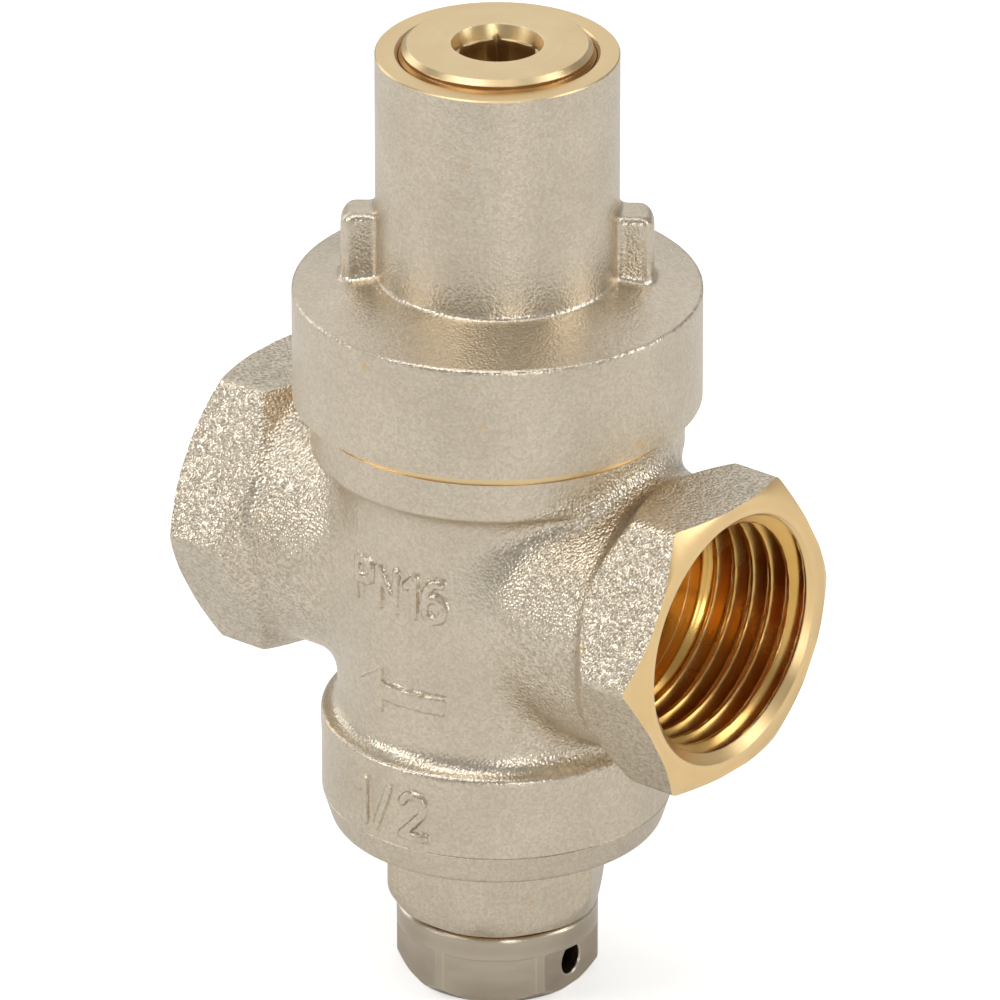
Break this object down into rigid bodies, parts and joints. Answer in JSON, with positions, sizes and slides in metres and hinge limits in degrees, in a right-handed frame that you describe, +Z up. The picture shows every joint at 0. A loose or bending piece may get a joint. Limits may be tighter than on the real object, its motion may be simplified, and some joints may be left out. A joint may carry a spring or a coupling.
{
  "type": "pressure reducing valve",
  "caption": "Piston-type water pressure reducing valve with two female pipe ports in line, a spring bonnet with a hex-socket adjusting nut, and a vented bottom plug.",
  "frame": {"origin": "centre of the flat end of the bottom plug, under the valve's vertical axis", "axes": "+Z up along the bonnet, spring and stem; +X out of the inlet port; the outlet port faces -X; the cast marks are on the -Y side"},
  "size_m": [0.048, 0.0328, 0.0817],
  "materials": {
    "nickel_cast": "nickel plated over shot-blasted cast brass, satin with a fine grain",
    "nickel_bright": "nickel plated over turned brass, smooth and glossy",
    "brass_machined": "machined brass with fine turning marks",
    "stainless": "turned stainless steel",
    "spring_steel": "cold-drawn spring wire, zinc passivated",
    "rubber": "black nitrile rubber, slightly greased",
    "guide_plastic": "white PTFE",
    "gasket_fibre": "copper-brown fibre sealing ring"
  },
  "bodies": {
    "root": {"body": "nickel_cast", "bonnet": "nickel_cast", "bottom_cover": "nickel_cast", "bottom_plug": "nickel_bright", "main_spring": "spring_steel", "seat_ring": "stainless", "seat_oring": "rubber", "cover_oring": "rubber", "plug_gasket": "gasket_fibre"},
    "piston_group": {"piston": "brass_machined", "piston_oring": "rubber", "piston_guide_ring": "guide_plastic", "stem": "stainless", "stem_nuts": "stainless", "disc_holder": "brass_machined", "seat_disc": "rubber", "disc_retainer": "stainless", "balance_oring": "rubber"},
    "spring_seat": {"thrust_washer": "stainless"},
    "nut": {"adjusting_nut": "brass_machined"}
  },
  "joints": [
    {"name": "piston_lift", "type": "slide", "parent": "root", "child": "piston_group", "axis": [0, 0, 1], "range_m": [0, 0.002], "deforming": ["main_spring"]},
    {"name": "nut_travel", "type": "slide", "parent": "root", "child": "spring_seat", "axis": [0, 0, 1], "range_m": [-0.004, 0.001], "deforming": ["main_spring"]},
    {"name": "nut_turn", "type": "hinge", "parent": "spring_seat", "child": "nut", "pos_m": [0, 0, 0.08], "axis": [0, 0, 1], "range_deg": [-1440, 360]}
  ],
  "couplings": [
    {"joint": "nut_travel", "follows": "nut_turn", "m_per_rad": 0.00015915}
  ]
}
